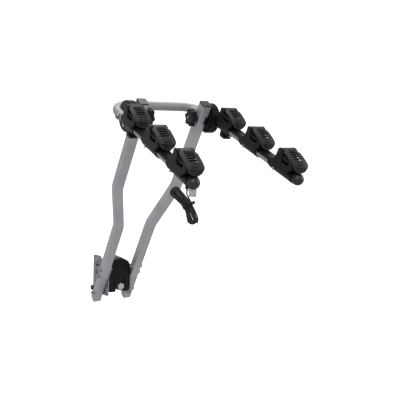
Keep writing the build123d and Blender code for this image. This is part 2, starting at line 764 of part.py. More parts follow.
def cradle_base(hump, cover_front, open_below):
    """One base. open_below leaves the tube's lower half bare ahead of the saddle."""
    block = cradle_block(hump)
    with BuildPart() as base:
        with BuildSketch(arm_section(arm_half, hump - cover_back)):
            Circle(cover_radius)
        extrude(amount=cover_back + cover_front)
        if open_below:
            with BuildSketch(arm_side(arm_half + cradle_width / 2, hump)):
                with BuildLine():
                    Polyline(
                        (cover_front, -cover_radius - 1),
                        (saddle_front, -cover_radius - 1),
                        (saddle_front, scallop_top),
                        (cover_front - scallop_arc, scallop_top),
                    )
                    RadiusArc((cover_front - scallop_arc, scallop_top), (cover_front, -cover_radius - 1), -26)
                make_face()
            extrude(amount=cradle_width, mode=Mode.SUBTRACT)
        add(block.part)
        with BuildSketch(arm_section(arm_half, hump - 2 * cover_back)):
            Circle(tube_radius + tube_fit)
        extrude(amount=2 * cover_back + 2 * cover_front, mode=Mode.SUBTRACT)
        with Locations(arm_section(arm_half, hump, pin_height)):
            Box(knuckle_width + 2 * slide_clearance, knuckle_slot, 2 * knuckle_radius + 4, mode=Mode.SUBTRACT)
        with BuildSketch(arm_side(arm_half + cradle_width, hump, pin_height)):
            Circle(pin_diameter / 2 + running_clearance)
        extrude(amount=2 * cradle_width, mode=Mode.SUBTRACT)
        with BuildSketch(arm_side(arm_half + cradle_width, hump - rivet_back, -rivet_drop)):
            Circle(rivet_diameter / 2 + tube_fit)
        extrude(amount=2 * cradle_width, mode=Mode.SUBTRACT)
        for face_x, side in ((arm_half + cover_radius - 1, -1), (arm_half - cover_radius + 1, 1)):
            with BuildSketch(arm_side(face_x, hump - rivet_back, -rivet_drop)):
                Circle(rivet_head + slide_clearance)
            extrude(amount=side * 5, mode=Mode.SUBTRACT)
        if hump - cover_back < drum_radius:
            with BuildSketch(arm_side(arm_half + cradle_width)):
                Circle(drum_radius + slide_clearance)
            extrude(amount=2 * cradle_width, mode=Mode.SUBTRACT)
    return base


def strap(hump):
    """Rubber strap on the nose pin: knuckle, band with slots, rounded tongue in front."""
    with BuildPart() as band:
        with BuildSketch(arm_side(arm_half + cradle_width / 2, hump, pin_height)):
            with BuildLine():
                FilletPolyline(
                    (-2, 9.3),
                    (7, 9.3),
                    (32, 3.2),
                    (58, -6),
                    (68.5, -13),
                    (72.3, -32),
                    (68.8, -31.6),
                    (65.5, -16),
                    (56, -9.4),
                    (31, 0),
                    (6.5, 6),
                    (-2, 6),
                    radius=1.4,
                    close=True,
                )
            make_face()
        extrude(amount=cradle_width)
        with BuildSketch(arm_section(arm_half, hump - 20, pin_height)):
            with Locations((0, -10)):
                RectangleRounded(cradle_width, 50, 17)
        extrude(amount=120, mode=Mode.INTERSECT)
        with BuildSketch(
            Plane(origin=arm_point(arm_half, hump, pin_height - 40), x_dir=(1, 0, 0), z_dir=arm_up)
        ):
            with BuildLine():
                Polyline(
                    (knuckle_width / 2, 12),
                    (knuckle_width / 2, -13),
                    (cradle_width / 2, -24),
                    (cradle_width / 2, -80),
                    (-cradle_width / 2, -80),
                    (-cradle_width / 2, -24),
                    (-knuckle_width / 2, -13),
                    (-knuckle_width / 2, 12),
                    close=True,
                )
            make_face()
        extrude(amount=60, mode=Mode.INTERSECT)
        with BuildSketch(arm_side(arm_half + knuckle_width / 2, hump, pin_height)):
            Circle(knuckle_radius)
        extrude(amount=knuckle_width)
        with BuildSketch(arm_side(arm_half + cradle_width, hump, pin_height)):
            Circle(pin_diameter / 2 + running_clearance)
        extrude(amount=2 * cradle_width, mode=Mode.SUBTRACT)
        with BuildSketch(
            Plane(origin=arm_point(arm_half, hump, pin_height - 20), x_dir=(1, 0, 0), z_dir=arm_up)
        ):
            with Locations([(0, -15.5 - strap_slot_pitch * index) for index in range(5)]):
                RectangleRounded(strap_slot_width, strap_slot_length, strap_slot_length / 2 - 0.2)
        extrude(amount=50, mode=Mode.SUBTRACT)
    return band


def sling(hump):
    """Rubber sling that the bicycle's tube lies on, from nose to front horn."""
    with BuildPart() as band:
        with BuildSketch(arm_side(arm_half + cradle_width / 2 - 2, hump)):
            with BuildLine():
                top = sling_seat + sling_thickness
                ThreePointArc((12.5, sling_seat + 1.5), (29, sling_seat - sling_sag), (46.5, sling_seat))
                Polyline((46.5, sling_seat), (54, sling_seat), (54, top), (46.5, top))
                ThreePointArc((46.5, top), (29, top - sling_sag), (12.5, top + 1.5))
                Line((12.5, top + 1.5), (12.5, sling_seat + 1.5))
            make_face()
        extrude(amount=cradle_width - 4)
    return band


cradle_names = ("inner", "middle", "outer")
pin_head_radius = 4.0
pin_head = 1.5
for hump, place in zip(hump_places, cradle_names):
    last = place == cradle_names[-1]
    cover_front = arm_reach - hump - tube_fit if last else cradle_pitch - cover_back - 0.5
    base = cradle_base(hump, cover_front, open_below=not last)
    pieces[f"right_{place}_cradle"] = base
    pieces[f"left_{place}_cradle"] = mirrored(base)
    band = strap(hump)
    pieces[f"right_{place}_strap"] = band
    pieces[f"left_{place}_strap"] = mirrored(band)
    rest = sling(hump)
    pieces[f"right_{place}_sling"] = rest
    pieces[f"left_{place}_sling"] = mirrored(rest)

with BuildPart() as pin_row:
    for hump in hump_places:
        with BuildSketch(arm_side(arm_half + cradle_width / 2, hump, pin_height)):
            Circle(pin_diameter / 2)
        extrude(amount=cradle_width)
        for face_x, side in ((arm_half + cradle_width / 2, -1), (arm_half - cradle_width / 2, 1)):
            with BuildSketch(arm_side(face_x, hump, pin_height)):
                Circle(pin_head_radius)
            extrude(amount=side * pin_head)
pieces["strap_pins"] = both_sides(pin_row)

with BuildPart() as rivet_row:
    for hump in hump_places:
        with BuildSketch(arm_side(arm_half + cover_radius, hump - rivet_back, -rivet_drop)):
            Circle(rivet_diameter / 2)
        extrude(amount=2 * cover_radius)
        for face_x, side in ((arm_half + cover_radius - 1, -1), (arm_half - cover_radius + 1, 1)):
            with BuildSketch(arm_side(face_x, hump - rivet_back, -rivet_drop)):
                Circle(rivet_head)
            extrude(amount=side * (rivet_head_height + 1))
pieces["cradle_rivets"] = both_sides(rivet_row)

# Hooks under the first cradle of each arm
hook_half_width = 11.0
with BuildPart() as frame_hook:
    with BuildSketch(arm_side(arm_half + hook_half_width)):
        with BuildLine():
            FilletPolyline(
                (64, -12),
                (64, -28),
                (69, -33),
                (92, -33),
                (96, -29.5),
                (94, -26.5),
                (82, -26.5),
                (79, -23),
                (79, -12),
                radius=1.6,
                close=True,
            )
        make_face()
    extrude(amount=2 * hook_half_width)
    with BuildSketch(arm_section(arm_half, 0)):
        Circle(cover_radius + tube_fit)
    extrude(amount=cradle_pitch, mode=Mode.SUBTRACT)
pieces["frame_hooks"] = both_sides(frame_hook)

# Safety cord on the left arm's end: it hangs straight from a lug under the
# last cover and is wound to a hank of loops that a tie draws in
cord_diameter = 3.6
cord_step = 4.6
cord_layers = 4
turns_per_layer = 2
loop_inner_half = 4.0
loop_draw = 2.3
upper_reach = 41.0
lower_reach = 32.0
upper_slant = 44.0
lower_slant = 76.0
hank_turn = 30.4
lug_forward = arm_reach - 16.0
lug_length = 9.0
lug_radius = 4.5
lug_root = 4.0
cord_x = -0.4
cord_straight = 12.0
waist_place = (2.6, -48.6)
hank_plane = Plane(
    origin=arm_point(-arm_half, lug_forward, -cover_radius),
    x_dir=(math.cos(math.radians(hank_turn)), -math.sin(math.radians(hank_turn)), 0),
    z_dir=(-math.sin(math.radians(hank_turn)), -math.cos(math.radians(hank_turn)), 0),
)


def slanted(angle):
    """Unit vector down the hank at an angle below the horizontal, and the one to its right."""
    down = Vector(math.cos(math.radians(angle)), -math.sin(math.radians(angle)), 0)
    return down, Vector(-down.Y, down.X, 0)


def wound_half_width(turn):
    """Half width of the loop: it spirals in over one layer and out over the next."""
    rank = abs(turn % (2 * turns_per_layer) - turns_per_layer)
    return loop_inner_half + rank * cord_step


def wound_depth(turn):
    """Depth of the layer. A climb takes the run on the right, where the spiral reverses."""
    whole = round(turn / turns_per_layer)
    offset = turn - whole * turns_per_layer
    inside = 0 < whole < cord_layers
    climb = offset / 0.25 + 0.5 if abs(offset) <= 0.125 else (1.0 if offset > 0 else 0.0)
    if not inside:
        climb = 1.0 if whole == 0 else 0.0
    return (whole - 1 + climb) * cord_step


def hank_node(turn):
    """Place and direction of the cord at an eighth of a turn, counted from the waist's right."""
    part = turn % 1
    right = part < 0.25 or part > 0.75
    side = 1 if right else -1
    if part in (0, 0.5):
        down, out = slanted((upper_slant + lower_slant) / 2)
        place = out * side * (wound_half_width(turn) - loop_draw)
    elif part in (0.125, 0.375):
        down, out = slanted(lower_slant)
        place = down * lower_reach + out * side * wound_half_width(turn)
    else:
        down, out = slanted(upper_slant)
        place = down * -upper_reach + out * side * wound_half_width(turn)
    climbing = part == 0 and turn % turns_per_layer == 0 and 0 < turn < cord_layers * turns_per_layer
    rise = 1.5 * cord_step / (upper_reach + lower_reach) if climbing else 0
    waist = Vector(waist_place[0], waist_place[1], wound_depth(turn))
    return waist + place, (down * side + Vector(0, 0, rise)).normalized()


cord_nodes = [(Vector(cord_x, -lug_length - cord_straight, 0), Vector(0, -1, 0))]
for index in range(8 * cord_layers * turns_per_layer + 1):
    if index % 8 not in (2, 6):
        cord_nodes.append(hank_node(index / 8))
top_depth = wound_depth(cord_layers * turns_per_layer)
cord_nodes += [
    (Vector(29, -72, top_depth), Vector(0.1, -1, 0).normalized()),
    (Vector(25, -86, top_depth), Vector(-0.8, -0.6, 0)),
]


def biarc(start, start_way, end, end_way):
    """Corners of two arcs that join two places and keep both directions."""
    span = end - start
    both = start_way + end_way
    turning = 2 * (1 - start_way.dot(end_way))
    along = span.dot(both)
    if turning > 1e-9:
        reach = (math.sqrt(along * along + turning * span.dot(span)) - along) / turning
    else:
        reach = span.dot(span) / (4 * span.dot(end_way))
    first = start + start_way * reach
    second = end - end_way * reach
    return (first + second) / 2, (second - first).normalized()


cord_points = []
with BuildPart() as cord_hank:
    with BuildLine() as hank_line:
        first_place, first_way = cord_nodes[0]
        Line(
            hank_plane.from_local_coords(first_place - first_way * cord_diameter),
            hank_plane.from_local_coords(first_place),
        )
        for (start, start_way), (end, end_way) in zip(cord_nodes, cord_nodes[1:]):
            middle, middle_way = biarc(start, start_way, end, end_way)
            half_turn = start_way.dot(end_way) < -0.99
            runs = [(start, start_way, end)]
            if not half_turn:
                runs = [(start, start_way, middle), (middle, middle_way, end)]
            for low, way, high in runs:
                low_place = hank_plane.from_local_coords(low)
                high_place = hank_plane.from_local_coords(high)
                way_out = hank_plane.from_local_coords(low + way) - low_place
                if (high_place - low_place).cross(way_out).length < 1e-6:
                    arc = Line(low_place, high_place)
                else:
                    arc = TangentArc(low_place, high_place, tangent=way_out)
                steps = max(2, round(arc.length))
                cord_points += [tuple(arc @ (step / steps)) for step in range(steps)]
        last_place, last_way = cord_nodes[-1]
        Line(
            hank_plane.from_local_coords(last_place),
            hank_plane.from_local_coords(last_place + last_way * cord_diameter),
        )
    start_plane = Plane(
        origin=hank_plane.from_local_coords(cord_nodes[0][0] - cord_nodes[0][1] * cord_diameter),
        z_dir=(0, 0, -1),
    )
    with BuildSketch(start_plane):
        Circle(cord_diameter / 2)
    sweep(path=hank_line.wires()[0])
pieces["cord_hank"] = cord_hank
least = min(
    math.dist(one, other)
    for index, one in enumerate(cord_points)
    for other in cord_points[index + 12:]
)
print("hank: least gap", round(least - cord_diameter, 2), "length", round(hank_line.wires()[0].length, 1))

# The lug moulded under the last left cover and the cord's straight stretch out of it
with BuildPart() as left_outer_cradle:
    add(pieces["left_outer_cradle"].part)
    with BuildSketch(Plane(origin=hank_plane.from_local_coords(Vector(cord_x, -lug_length, 0)))):
        Circle(lug_radius)
    extrude(amount=lug_length + lug_root)
    with BuildSketch(arm_section(-arm_half, arm_reach / 2)):
        Circle(tube_radius + tube_fit)
    extrude(amount=arm_reach / 2, mode=Mode.SUBTRACT)
pieces["left_outer_cradle"] = left_outer_cradle

with BuildPart() as safety_cord:
    with BuildSketch(
        Plane(origin=hank_plane.from_local_coords(Vector(cord_x, -lug_length, 0)), z_dir=(0, 0, -1))
    ):
        Circle(cord_diameter / 2)
    extrude(amount=cord_straight - cord_diameter)
pieces["safety_cord"] = safety_cord

# Tie round the hank's waist
tie_width = 6.0
tie_wall = 1.4
tie_gap = 0.4
tie_head = (6.5, 8.0)
waist_down, waist_out = slanted((upper_slant + lower_slant) / 2)
waist_right = loop_inner_half + turns_per_layer * cord_step - loop_draw + cord_diameter / 2
waist_left = loop_inner_half + (turns_per_layer - 0.5) * cord_step - loop_draw + cord_diameter / 2
tie_inner = (
    waist_right + waist_left + 2 * tie_gap,
    (cord_layers - 1) * cord_step + cord_diameter + 2 * tie_gap,
)
hank_origin = hank_plane.from_local_coords(Vector(0, 0, 0))


def hank_way(way):
    """A direction in the hank's plane as one of the rack's."""
    return hank_plane.from_local_coords(way) - hank_origin


with BuildPart() as cord_tie:
    tie_centre = Vector(waist_place[0], waist_place[1], (cord_layers - 1) * cord_step / 2)
    tie_centre += waist_out * (waist_right - waist_left) / 2 - waist_down * tie_width / 2
    tie_plane = Plane(
        origin=hank_plane.from_local_coords(tie_centre),
        x_dir=hank_way(waist_out),
        z_dir=hank_way(waist_down),
    )
    with BuildSketch(tie_plane):
        RectangleRounded(tie_inner[0] + 2 * tie_wall, tie_inner[1] + 2 * tie_wall, 4)
        with Locations((tie_inner[0] / 2 + tie_wall + tie_head[0] / 2 - 1, 0)):
            Rectangle(tie_head[0], tie_head[1])
        RectangleRounded(tie_inner[0], tie_inner[1], 2.6, mode=Mode.SUBTRACT)
    extrude(amount=tie_width)
pieces["cord_tie"] = cord_tie

# Cam buckle crimped to the cord's straight stretch
buckle_clearance = 0.6
buckle_left = cord_x + lug_radius + buckle_clearance
buckle_width = 18.0
buckle_top = -1.5
buckle_length = 27.0
buckle_wall = 1.4
buckle_back = -3.2
buckle_flange = 10.0
crimp_radius = 3.0
crimp_height = 4.0
pivot_radius = 1.5
pivot_place = (-8.5, 3.0)
lever_thickness = 2.0
lever_length = 17.0
lever_body = 3.6
buckle_middle = buckle_left + buckle_width / 2
crimp_tab = buckle_left + buckle_wall - cord_x
with BuildPart() as buckle_body:
    with BuildSketch(hank_plane.offset(buckle_back)):
        with Locations((buckle_middle, buckle_top - buckle_length / 2)):
            RectangleRounded(buckle_width, buckle_length, 1.5)
    extrude(amount=buckle_wall)
    for left in (buckle_left, buckle_left + buckle_width - buckle_wall):
        with BuildSketch(hank_plane.offset(buckle_back)):
            with Locations((left + buckle_wall / 2, buckle_top - buckle_length / 2)):
                Rectangle(buckle_wall, buckle_length - 4)
        extrude(amount=buckle_flange)
    crimp_plane = Plane(
        origin=hank_plane.from_local_coords(Vector(cord_x, -lug_length - 1.5, 0)),
        x_dir=hank_plane.x_dir,
        z_dir=(0, 0, -1),
    )
    with BuildSketch(crimp_plane):
        Circle(crimp_radius)
        with Locations((crimp_tab / 2, 0)):
            Rectangle(crimp_tab, 2)
        Circle(cord_diameter / 2 + tube_fit, mode=Mode.SUBTRACT)
    extrude(amount=crimp_height)
    with BuildSketch(hank_plane.offset(buckle_back)):
        with Locations((buckle_middle, buckle_top - buckle_length + 4)):
            Rectangle(buckle_width - 6, 3)
    extrude(amount=buckle_wall, mode=Mode.SUBTRACT)
    pivot_plane = Plane(
        origin=hank_plane.from_local_coords(Vector(buckle_left, pivot_place[0], pivot_place[1])),
        x_dir=(0, 0, 1),
        z_dir=hank_plane.x_dir,
    )
    with BuildSketch(pivot_plane):
        Circle(pivot_radius + running_clearance)
    extrude(amount=buckle_width, mode=Mode.SUBTRACT)
pieces["buckle_body"] = buckle_body

with BuildPart() as buckle_pin:
    with BuildSketch(pivot_plane):
        Circle(pivot_radius)
    extrude(amount=buckle_width)
pieces["buckle_pin"] = buckle_pin

lever_clearance = 0.4
with BuildPart() as buckle_cam:
    with BuildSketch(pivot_plane.offset(buckle_wall + lever_clearance)):
        Circle(lever_body)
        with Locations((-lever_length / 2, lever_thickness / 2 + 0.6)):
            Rectangle(lever_length, lever_thickness)
        Circle(pivot_radius + running_clearance, mode=Mode.SUBTRACT)
    extrude(amount=buckle_width - 2 * buckle_wall - 2 * lever_clearance)
pieces["buckle_cam"] = buckle_cam

for name, piece in pieces.items():
    piece.part.label = name
    export_step(piece.part, f"parts/{name}.step")
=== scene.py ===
# %% [markdown]
# # A hanging bicycle rack for a tow ball
# Two square steel legs carry a tube bent to a U. On each arm of the U sit three black cradles
# with rubber straps, and a cord wound to a hank hangs from the left arm. The rigid pieces come
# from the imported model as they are. Here they get their finishes, and the soft pieces (straps,
# slings and the cord) are built again as the soft things that they are.

import json
import math

import bmesh
import bpy
from mathutils import Matrix, Vector


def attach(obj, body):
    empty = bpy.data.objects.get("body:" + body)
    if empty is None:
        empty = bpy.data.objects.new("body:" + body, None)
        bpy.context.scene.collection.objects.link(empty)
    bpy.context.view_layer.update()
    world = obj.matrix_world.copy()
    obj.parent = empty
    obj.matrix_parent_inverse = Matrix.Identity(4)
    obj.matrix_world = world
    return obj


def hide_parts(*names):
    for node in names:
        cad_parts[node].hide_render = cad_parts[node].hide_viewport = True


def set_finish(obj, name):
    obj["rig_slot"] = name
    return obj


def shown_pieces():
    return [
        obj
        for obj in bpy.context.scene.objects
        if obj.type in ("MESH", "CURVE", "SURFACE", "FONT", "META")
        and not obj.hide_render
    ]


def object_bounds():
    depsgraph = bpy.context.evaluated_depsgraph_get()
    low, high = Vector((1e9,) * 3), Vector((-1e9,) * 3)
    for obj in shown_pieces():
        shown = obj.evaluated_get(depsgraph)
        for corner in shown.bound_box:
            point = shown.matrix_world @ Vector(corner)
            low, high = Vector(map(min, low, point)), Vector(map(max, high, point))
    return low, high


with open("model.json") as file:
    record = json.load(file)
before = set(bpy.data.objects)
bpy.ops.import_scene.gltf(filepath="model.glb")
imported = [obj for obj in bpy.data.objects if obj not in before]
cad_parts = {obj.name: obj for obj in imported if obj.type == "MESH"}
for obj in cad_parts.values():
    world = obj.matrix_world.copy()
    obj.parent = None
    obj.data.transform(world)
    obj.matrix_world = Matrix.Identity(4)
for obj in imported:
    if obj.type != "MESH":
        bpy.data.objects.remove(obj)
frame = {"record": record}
cad_box = [list(corner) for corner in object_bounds()]

# %% [markdown]
# ## The camera
# The photograph was taken from behind the rack, a little to its left and above. A camera is three
# directions and a place: its own X points right in the picture, its Y up, and its Z back at us.

# %% Camera
camera_data = bpy.data.cameras.new("camera")
camera_data.sensor_width = 36.0
camera_data.lens = 57.32
camera = bpy.data.objects.new("camera", camera_data)
bpy.context.scene.collection.objects.link(camera)
camera_place = Vector((-0.8854, -2.1349, 0.7017))
camera_right = Vector((0.8658, -0.4980, 0.0482)).normalized()
camera_back = Vector((-0.4985, -0.8505, 0.1681)).normalized()
camera_up = camera_back.cross(camera_right).normalized()
camera_turn = Matrix((camera_right, camera_up, camera_back)).transposed().to_4x4()
camera.matrix_world = Matrix.Translation(camera_place) @ camera_turn
bpy.context.scene.camera = camera
print("camera stands", round(camera_place.length, 2), "m from the tow ball")

# %% [markdown]
# ## Places on the arms
# The arms droop towards the rear, so it is easier to think in their own directions: so far out
# along the arm, and so far up from it, both measured from the hub. Each cradle is placed by its
# steel pin, on which its strap turns.

# %% Directions of the arms
MM = 0.001
arm_droop = math.radians(17)
leg_lean = math.radians(31.5)
foot_height = -72
hub_on_leg = 813
hub_back = hub_on_leg * math.sin(leg_lean)
hub_height = foot_height + hub_on_leg * math.cos(leg_lean)
hub = Vector((0, -hub_back, hub_height)) * MM
arm_along = Vector((0, -math.cos(arm_droop), -math.sin(arm_droop)))
arm_up = Vector((0, -math.sin(arm_droop), math.cos(arm_droop)))
arm_half = 154.6
pin_height = 50.0
SIDES = (("left", -1), ("right", 1))
PINS_ALONG = (("inner", 71.0), ("middle", 225.5), ("outer", 380.0))


def arm_point(across, along, up):
    """A point on an arm, from millimetres."""
    return hub + Vector((across, 0, 0)) * MM + arm_along * (along * MM) + arm_up * (up * MM)


print("the arms turn at", [round(v, 3) for v in hub])

# %% [markdown]
# ## The safety cord
# A cord of 3.6 mm hangs from a lug under the left arm's end and is wound to a hank. It could be
# drawn as separate rings, but one cord is one line, so a single smooth spline runs straight out of
# the lug, eight times round the hank and down to its sealed end. Each layer spirals in and the
# next spirals out, as it does when a hand winds it.

# %% The hank's place and directions
cord_diameter = 3.6
lug_along = 424.0
lug_up = -17.4
hank_turn = math.radians(30.4)
hank_right = Vector((math.cos(hank_turn), -math.sin(hank_turn), 0))
hank_front = Vector((-math.sin(hank_turn), -math.cos(hank_turn), 0))
hank_origin = arm_point(-arm_half, lug_along, lug_up)
waist = Vector((2.6, -48.6, 0))


def hank_point(right, up, front):
    """A point of the hank, so many millimetres right of, above and in front of its lug."""
    return hank_origin + (hank_right * right + Vector((0, 0, 1)) * up + hank_front * front) * MM


def slanted(degrees):
    """The way down the hank at this slant, and the way out to its right."""
    down = Vector((math.cos(math.radians(degrees)), -math.sin(math.radians(degrees)), 0))
    return down, Vector((-down.y, down.x, 0))


print("from the lug to the hank's waist:", round((hank_origin - hank_point(*waist)).length, 3), "m")

# %% [markdown]
# The hank has a narrow waist, where its tie sits, and a round end above and below. A turn starts
# on one side of the waist, goes round the lower end, passes the waist's other side half way, and
# goes round the upper end. Two turns make a layer, and four layers lie one before the other.

# %% How wide and how deep the cord lies at each turn
cord_layers = 4
turns_per_layer = 2
cord_step = 4.6
climb_share = 0.25
waist_inner_half = 4.0
end_inner_half = 2.6
end_step = 3.95


def rank(turn):
    """How many turns lie inside this one: it spirals in over one layer and out over the next."""
    return abs(turn % (2 * turns_per_layer) - turns_per_layer)


def waist_half_width(turn):
    """Half the hank's width at its waist, before the tie draws it in."""
    return waist_inner_half + rank(turn) * cord_step


def end_half_width(turn):
    """The same at the ends of the loops, where the turns lie close together."""
    return end_inner_half + rank(turn) * end_step


def depth(turn):
    """Depth of the layer, with the climb where the spiral turns round."""
    whole = round(turn / turns_per_layer)
    offset = turn - whole * turns_per_layer
    if whole == 0:
        climb = 1.0
    elif whole == cord_layers:
        climb = 0.0
    elif abs(offset) <= climb_share / 2:
        climb = offset / climb_share + 0.5
    else:
        climb = 1.0 if offset > 0 else 0.0
    return (whole - 1 + climb) * cord_step


print("half widths of the first layer:", [round(end_half_width(t / 2), 1) for t in range(5)])

# %% [markdown]
# A spline of this kind cuts the corners between its control points. So each round end gets the
# corners of half an octagon, and the spline draws the arc that the octagon holds. No two layers
# lie quite alike, as in a hank wound by hand, so it closes up and shows hardly any daylight.

# %% The spline's control points
# Slants in degrees from level, and how far from the waist each round end begins.
waist_slant, lower_slant, upper_slant = 60, 68, 44
lower_reach, upper_reach = 36.2, 44.4
# How far each of the four layers lies to the side, below and above the waist.
lower_aside = (-2.3, 2.3, -1.1, 1.5)
upper_aside = (-2.0, 2.0, -0.9, 1.2)
# The tie draws both sides of the waist in, and pushes one of them across.
waist_draw = 2.3
waist_shift = 1.9
# Small waves along the turns, so that no two ends are alike.
slack_reach, slack_beat = 0.25, 5.1
slant_sway, slant_beat = 1.6, 2.4
# A round end begins an eighth of a turn after the waist and lasts a quarter of one.
end_starts = 0.125
end_share = 0.25
end_corners = 4
half_corner = math.pi / (2 * end_corners)
loose_end = ((20, -57), (27, -71), (30, -82), (27, -89.5))
cord_points = [(-0.4, -9, 0), (-0.4, -15, 0), (-0.4, -22, 0), (4.6, -31, 0)]


def place_on_hank(turn, along, out, slant):
    """One control point: so far along the hank from its waist, and so far out from its middle."""
    down, side = slanted(slant)
    spot = waist + down * along + side * out
    cord_points.append((spot.x, spot.y, depth(turn)))


def wind_end(turn, sign, reach, slant, aside):
    """Half a turn at one end of the hank, round the sides of an octagon that holds the arc."""
    layer = int(turn / turns_per_layer)
    slack = slack_reach * math.sin(slack_beat * turn)
    slant += slant_sway * math.sin(slant_beat * layer + sign)
    shift = aside[layer]
    start = turn + end_starts
    stop = start + end_share
    place_on_hank(start, sign * reach, sign * end_half_width(start) + shift, slant)
    for corner in range(end_corners):
        here = start + end_share * (corner + 0.5) / end_corners
        radius = end_half_width(here) / math.cos(half_corner)
        angle = half_corner + corner * math.pi / end_corners
        along = sign * (reach + slack + radius * math.sin(angle))
        place_on_hank(here, along, sign * radius * math.cos(angle) + shift, slant)
    place_on_hank(stop, sign * reach, -sign * end_half_width(stop) + shift, slant)


for turn in range(cord_layers * turns_per_layer):
    place_on_hank(turn, 0, waist_half_width(turn) - waist_draw, waist_slant)
    wind_end(turn, 1, lower_reach, lower_slant, lower_aside)
    back = turn + 0.5
    place_on_hank(back, 0, waist_draw - waist_half_width(back) + waist_shift, waist_slant)
    wind_end(back, -1, upper_reach, upper_slant, upper_aside)
last_turn = cord_layers * turns_per_layer
place_on_hank(last_turn, 0, waist_half_width(last_turn) - waist_draw, waist_slant)
cord_points += [(right, up, depth(last_turn)) for right, up in loose_end]
print("control points of the cord:", len(cord_points))

# %% Draw the spline and read its points back
cord_curve = bpy.data.curves.new("cord_route", "CURVE")
cord_curve.dimensions = "3D"
cord_curve.resolution_u = 10
route = cord_curve.splines.new("NURBS")
route.points.add(len(cord_points) - 1)
for point, place in zip(route.points, cord_points):
    point.co = (*hank_point(*place), 1)
route.order_u = 3
route.use_endpoint_u = True
route_object = bpy.data.objects.new("cord_route", cord_curve)
bpy.context.scene.collection.objects.link(route_object)
bpy.context.view_layer.update()
route_mesh = bpy.data.meshes.new_from_object(route_object)
cord_line = [vertex.co.copy() for vertex in route_mesh.vertices]
cord_length = sum((b - a).length for a, b in zip(cord_line, cord_line[1:]))
bpy.data.objects.remove(route_object)
print("cord:", len(cord_line), "points,", round(cord_length, 3), "m")

# %% [markdown]
# A cord of this kind is braided. Two families of strands cross over it, so its surface rises and
# falls in small lozenges. A tube is built ring by ring along the line, and each point of a ring
# moves out or in a little by where the two families of strands meet there. The last rings shrink,
# where the cord's end is melted together.

# %% Helpers for new meshes


def new_piece(name, verts, faces):
    """A smooth mesh object from points and faces, with its faces turned outwards."""
    mesh = bpy.data.meshes.new(name)
    mesh.from_pydata([tuple(v) for v in verts], [], faces)
    work = bmesh.new()
    work.from_mesh(mesh)
    bmesh.ops.recalc_face_normals(work, faces=work.faces)
    work.to_mesh(mesh)
    work.free()
    mesh.shade_smooth()
    piece = bpy.data.objects.new(name, mesh)
    bpy.context.scene.collection.objects.link(piece)
    return piece


def evenly(line, step):
    """Points at equal steps along a line of points."""
    spaced, rest = [line[0]], step
    for a, b in zip(line, line[1:]):
        run = (b - a).length
        while run >= rest:
            a = a.lerp(b, rest / run)
            spaced.append(a)
            run -= rest
            rest = step
        rest -= run
    return spaced


print("mesh helpers are ready")

# %% Braided tube
ring_step = 0.9
ring_sides = 16
braid_strands = 4
braid_pitch = 9.0
braid_relief = 0.16
sealed_end = 0.62
sealed_growth = 0.16
cord_rings = evenly(cord_line, ring_step * MM)
cord_radius = cord_diameter / 2
verts, faces = [], []
normal = hank_front.copy()
for index, centre in enumerate(cord_rings):
    ahead = cord_rings[min(index + 1, len(cord_rings) - 1)]
    behind = cord_rings[max(index - 1, 0)]
    along = (ahead - behind).normalized()
    normal = (normal - along * normal.dot(along)).normalized()
    beside = along.cross(normal)
    travel = index * ring_step / braid_pitch * 2 * math.pi
    from_end = len(cord_rings) - 1 - index
    taper = min(1.0, sealed_end + sealed_growth * from_end)
    for side in range(ring_sides):
        angle = 2 * math.pi * side / ring_sides
        strand = braid_strands * angle
        weave = math.sin(strand + travel) * math.sin(strand - travel)
        reach = (cord_radius + braid_relief * weave) * taper * MM
        verts.append(centre + (normal * math.cos(angle) + beside * math.sin(angle)) * reach)
for index in range(len(cord_rings) - 1):
    for side in range(ring_sides):
        a = index * ring_sides + side
        b = index * ring_sides + (side + 1) % ring_sides
        faces.append((a, b, b + ring_sides, a + ring_sides))
faces.append(tuple(range(ring_sides)))
faces.append(tuple(range(len(verts) - ring_sides, len(verts))))
safety_cord = new_piece("braided_cord", verts, faces)
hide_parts("safety_cord", "cord_hank")
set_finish(safety_cord, "cord")
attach(safety_cord, "arms")
tuple(hank_point(-0.4, -9, 0))
[tuple(p) for p in cord_line]
print("braided cord:", len(verts), "vertices")

# %% [markdown]
# ## Rubber straps and slings
# Each cradle has a moulded rubber strap that closes over the bicycle's tube, and a rubber sling
# that the tube lies on. Both are sheets of rubber with a rim and ribs, and the strap has slots. A
# sheet is made as a grid: rows along it, columns across it, an upper and a lower skin, and walls
# round its edges and round the cells that are left open. A subdivision surface then rounds it all,
# as moulding does.

# %% A moulded sheet from a grid


def moulded_sheet(name, rows, columns, spot, is_open=lambda i, j: False):
    """A sheet of rows x columns points on two skins, without the cells that are open.

    spot(i, j, skin) gives a point in metres, with skin 0 below and skin 1 above.
    """
    verts = [spot(i, j, skin) for skin in (0, 1) for i in range(rows) for j in range(columns)]

    def at(i, j, skin):
        return (skin * rows + i) * columns + j

    faces = []
    closed = {
        (i, j) for i in range(rows - 1) for j in range(columns - 1) if not is_open(i, j)
    }
    for i, j in closed:
        corners = ((i, j), (i + 1, j), (i + 1, j + 1), (i, j + 1))
        for skin in (0, 1):
            faces.append(tuple(at(*corner, skin) for corner in corners))
        sides = (
            ((i - 1, j), (i, j), (i, j + 1)),
            ((i + 1, j), (i + 1, j), (i + 1, j + 1)),
            ((i, j - 1), (i, j), (i + 1, j)),
            ((i, j + 1), (i, j + 1), (i + 1, j + 1)),
        )
        for neighbour, a, b in sides:
            if neighbour not in closed:
                faces.append((at(*a, 0), at(*b, 0), at(*b, 1), at(*a, 1)))
    piece = new_piece(name, verts, faces)
    work = bmesh.new()
    work.from_mesh(piece.data)
    loose = [v for v in work.verts if not v.link_faces]
    bmesh.ops.delete(work, geom=loose, context="VERTS")
    work.to_mesh(piece.data)
    work.free()
    return piece


